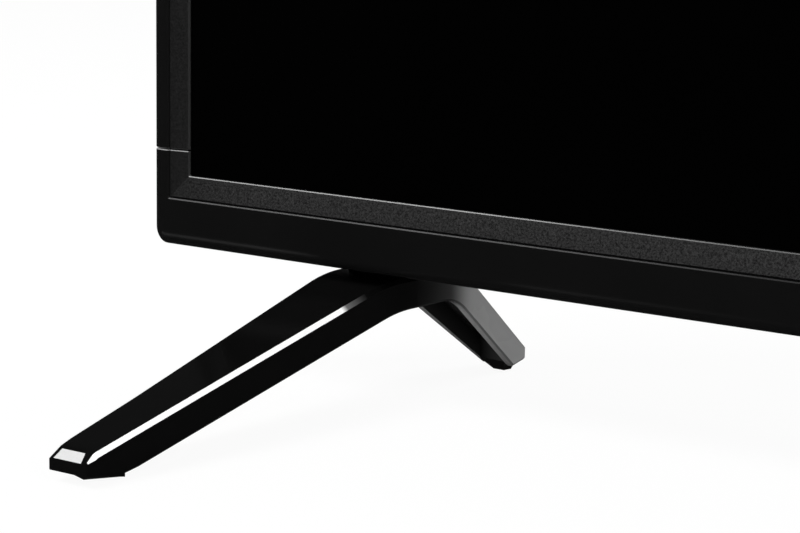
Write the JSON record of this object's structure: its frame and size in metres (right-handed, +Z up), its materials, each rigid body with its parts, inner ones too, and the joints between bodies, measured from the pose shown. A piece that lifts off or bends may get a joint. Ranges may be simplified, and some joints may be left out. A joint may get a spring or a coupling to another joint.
{
  "type": "flat screen tv",
  "caption": "Slim flat screen television with a narrow black bezel, a bulged rear cover with terminal wells and a wall mount pattern, on two V-shaped table feet.",
  "frame": {"origin": "on the table under the middle of the set's box", "axes": "+X to the right along the screen, +Y from the screen to the back, +Z up"},
  "size_m": [0.73, 0.1868, 0.471],
  "materials": {
    "bezel_gloss": "gloss black moulded rim with a finely speckled band",
    "screen": "dark low-glare screen",
    "inner_plastic": "moulded black",
    "optical_film": "white optical sheet",
    "led_bar": "white solder mask",
    "lens": "clear moulded lens",
    "sheet_steel": "zinc-coated sheet",
    "circuit_board": "green solder mask",
    "power_circuit_board": "paper board, buff",
    "cover_plastic": "finely grained black moulding",
    "screw_steel": "plated screw",
    "chip": "moulded component",
    "heatsink_metal": "extruded",
    "socket_metal": "nickel-plated shell",
    "socket_plastic": "black socket body",
    "contact_brass": "plated contact pins",
    "button_plastic": "black button",
    "receiver_lens": "dark infrared window",
    "foot_gloss": "gloss black with a bright-cut inner upper edge",
    "pad_rubber": "soft black pad"
  },
  "bodies": {
    "set": {"lower_bezel": "bezel_gloss", "upper_bezel": "bezel_gloss", "lcd_panel": "screen", "panel_guide": "inner_plastic", "prism_film": "optical_film", "diffuser_film": "optical_film", "diffuser_plate": "optical_film", "reflector_sheet": "optical_film", "led_bars": "led_bar", "led_lenses": "lens", "diffuser_posts": "optical_film", "backlight_tray": "sheet_steel", "source_board": "circuit_board", "panel_ribbon": "optical_film", "rear_cover": "cover_plastic", "cover_screws": "screw_steel", "main_board": "circuit_board", "board_chips": "chip", "heatsink": "heatsink_metal", "power_board": "power_circuit_board", "power_parts": "chip", "transformer": "chip", "board_screws": "screw_steel", "hdmi_sockets": "socket_metal", "usb_socket": "socket_metal", "headphone_jack": "socket_plastic", "lan_socket": "socket_metal", "aerial_socket": "socket_metal", "power_inlet": "socket_plastic", "inlet_pins": "contact_brass", "speaker_left": "inner_plastic", "speaker_right": "inner_plastic", "speaker_cones": "inner_plastic", "speaker_wires": "inner_plastic", "key_board": "circuit_board", "key_switch": "inner_plastic", "receiver_eye": "chip", "receiver_window": "receiver_lens", "wall_mount_posts": "sheet_steel", "foot_left": "foot_gloss", "foot_right": "foot_gloss", "foot_pads": "pad_rubber", "foot_screws": "screw_steel", "foot_bracket_left": "sheet_steel", "foot_bracket_right": "sheet_steel"},
    "button": {"power_button": "button_plastic", "switch_plunger": "optical_film"}
  },
  "joints": [
    {"name": "power_button_press", "type": "slide", "parent": "set", "child": "button", "axis": [0, 0, 1], "range_m": [0, 0.0008], "stiffness_N_per_m": 300}
  ]
}
